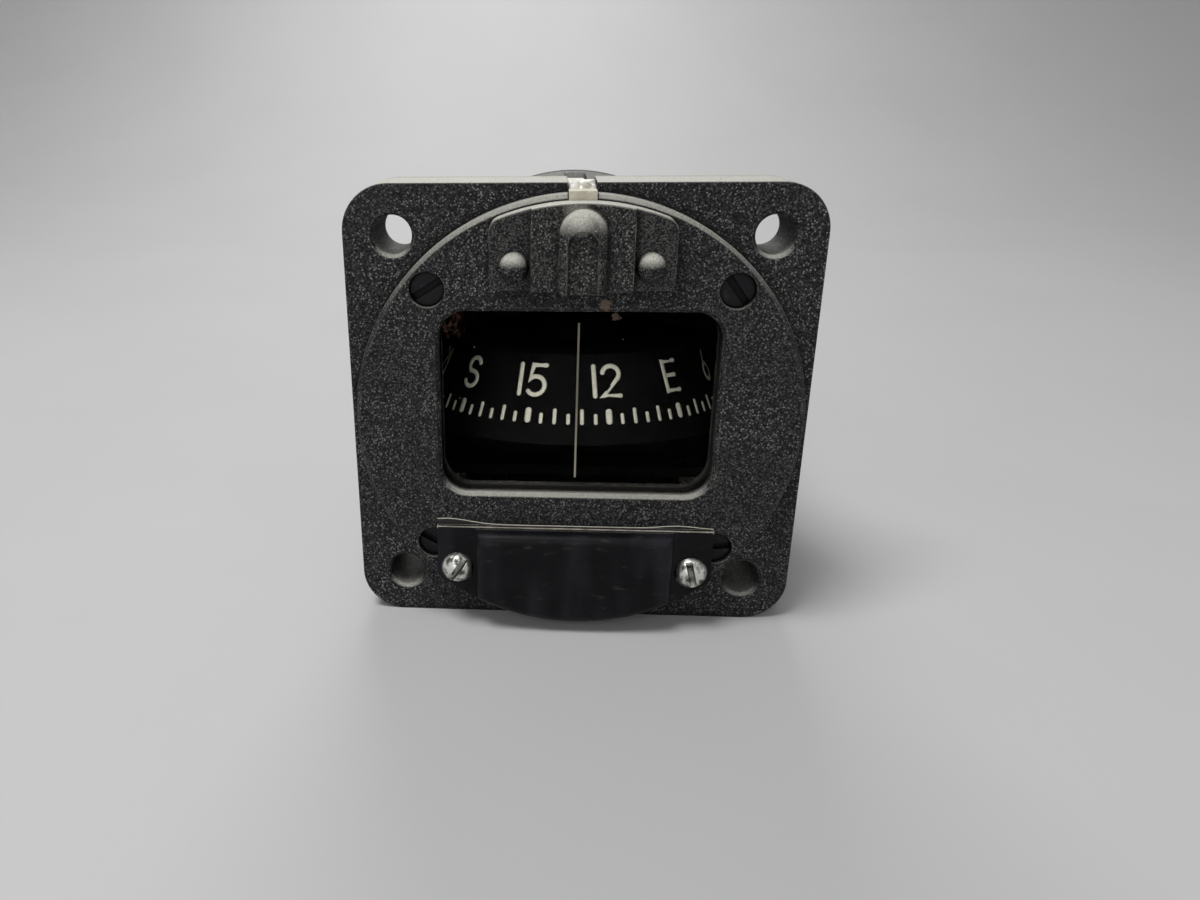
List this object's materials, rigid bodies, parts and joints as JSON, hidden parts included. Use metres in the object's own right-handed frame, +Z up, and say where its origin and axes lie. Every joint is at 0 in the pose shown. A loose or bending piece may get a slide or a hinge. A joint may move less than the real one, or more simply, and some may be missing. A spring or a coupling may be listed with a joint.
{
  "type": "aircraft panel compass",
  "caption": "Small liquid-filled panel compass: square flange, round bezel with window, lamp housing on top, geared compensator behind a cover, free card on a jewelled pivot.",
  "frame": {"origin": "centre of the flange's front face, in the middle of the four mounting holes", "axes": "+X to the right seen from the front, +Y into the panel, +Z up"},
  "size_m": [0.0604, 0.0667, 0.0604],
  "materials": {
    "black_enamel": "matte black enamel with fine texture, worn at the edges",
    "black_gloss": "smooth black enamel",
    "dark_screw": "blackened",
    "nickel_screw": "worn nickel plate",
    "clear_glass": "clear",
    "red_glass": "red",
    "black_rubber": "matte",
    "cream_paint": "matte paint",
    "card_black": "matte black paint",
    "float_black": "matte",
    "brass": "machined",
    "magnet_steel": "ground",
    "hard_steel": "polished",
    "jewel": "polished",
    "tinned_strip": "tinned, with solder",
    "pale_sheet": "bare thin sheet",
    "fibre": "pressed fibre"
  },
  "bodies": {
    "case": {"case_body": "black_enamel", "front_bezel": "black_enamel", "lamp_housing": "black_enamel", "lamp_rivets": "black_enamel", "rear_cover": "black_enamel", "compensator_cover": "black_gloss", "bezel_screws": "dark_screw", "cover_screws": "nickel_screw", "rear_cover_screws": "nickel_screw", "bridge_screws": "nickel_screw", "filler_plug": "nickel_screw", "window_glass": "clear_glass", "lamp_bulb": "clear_glass", "lamp_filter": "red_glass", "window_gasket": "black_rubber", "diaphragm": "black_rubber", "lubber_line": "cream_paint", "lamp_socket": "brass", "compensator_frame": "brass", "compensator_plate": "brass", "pivot_bridge": "brass", "pivot_post": "brass", "jewel_retainer": "brass", "jewel_spring": "hard_steel", "jewel_cup": "jewel", "lamp_lead": "tinned_strip", "cover_gasket": "pale_sheet", "lead_insulator": "pale_sheet", "rear_gasket": "fibre", "filler_washer": "fibre"},
    "ew_adjuster": {"ew_adjuster": "brass"},
    "ew_wheel_left": {"ew_wheel_left": "brass", "ew_magnet_left": "magnet_steel"},
    "ew_wheel_right": {"ew_wheel_right": "brass", "ew_magnet_right": "magnet_steel"},
    "ns_adjuster": {"ns_adjuster": "brass", "ns_magnet_front": "magnet_steel"},
    "ns_wheel": {"ns_wheel": "brass", "ns_magnet_mate": "magnet_steel"},
    "card_pitch": {"pivot_tip": "hard_steel"},
    "card_roll": {"pivot_pin": "hard_steel"},
    "card": {"compass_card": "card_black", "card_float": "float_black", "magnet_carrier": "brass", "card_magnets": "magnet_steel"}
  },
  "joints": [
    {"name": "card_pitch", "type": "hinge", "parent": "case", "child": "card_pitch", "pos_m": [0, 0.0275, 0.0045], "axis": [1, 0, 0], "range_deg": [-12, 12]},
    {"name": "card_roll", "type": "hinge", "parent": "card_pitch", "child": "card_roll", "pos_m": [0, 0.0275, 0.0045], "axis": [0, 1, 0], "range_deg": [-12, 12]},
    {"name": "card_heading", "type": "hinge", "parent": "card_roll", "child": "card", "pos_m": [0, 0.0275, 0.0045], "axis": [0, 0, 1], "continuous": true},
    {"name": "ew_adjust", "type": "hinge", "parent": "case", "child": "ew_adjuster", "pos_m": [-0.00617, 0.00422, -0.0205], "axis": [0, 1, 0], "continuous": true},
    {"name": "ew_left_turn", "type": "hinge", "parent": "case", "child": "ew_wheel_left", "pos_m": [-0.00617, 0.00422, -0.0205], "axis": [1, 0, 0], "continuous": true},
    {"name": "ew_right_turn", "type": "hinge", "parent": "case", "child": "ew_wheel_right", "pos_m": [-0.00617, 0.00422, -0.0205], "axis": [1, 0, 0], "continuous": true},
    {"name": "ns_adjust", "type": "hinge", "parent": "case", "child": "ns_adjuster", "pos_m": [0.00308, 0, -0.0205], "axis": [0, 1, 0], "continuous": true},
    {"name": "ns_mate_turn", "type": "hinge", "parent": "case", "child": "ns_wheel", "pos_m": [0.00808, 0, -0.0205], "axis": [0, 1, 0], "continuous": true}
  ],
  "couplings": [
    {"joint": "ew_left_turn", "follows": "ew_adjust", "ratio": -1},
    {"joint": "ew_right_turn", "follows": "ew_adjust", "ratio": 1},
    {"joint": "ns_mate_turn", "follows": "ns_adjust", "ratio": -1}
  ]
}
